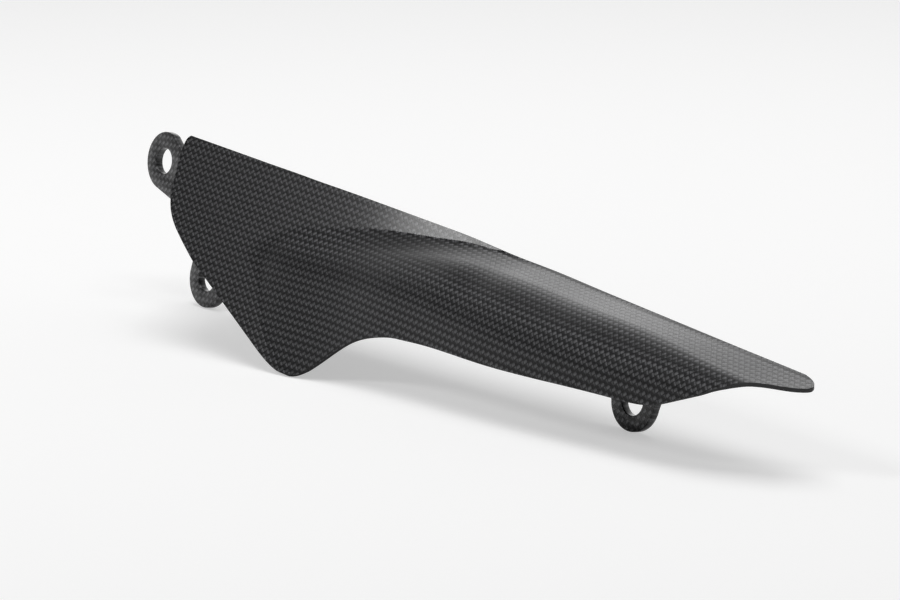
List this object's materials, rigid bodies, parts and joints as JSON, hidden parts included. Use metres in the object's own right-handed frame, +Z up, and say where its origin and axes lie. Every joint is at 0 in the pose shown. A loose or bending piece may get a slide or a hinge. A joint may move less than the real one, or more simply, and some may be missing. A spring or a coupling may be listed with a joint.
{
  "type": "motorcycle chain guard",
  "caption": "Long one-piece chain guard: a flat front wing folds over into a roof and outer wall, and an inner flange carries round bolt eyes that hold it over a drive chain.",
  "frame": {"origin": "on the floor under the middle of the part's bounding box", "axes": "+X to the rear, towards the pointed tail; -Y to the outer side that shows; +Z up as the guard stands on its lobe and two lower eyes"},
  "size_m": [0.3475, 0.0517, 0.068],
  "materials": {
    "carbon": "satin clear coat over plain-weave carbon cloth"
  },
  "bodies": {
    "root": {"chain_guard": "carbon"}
  },
  "joints": []
}
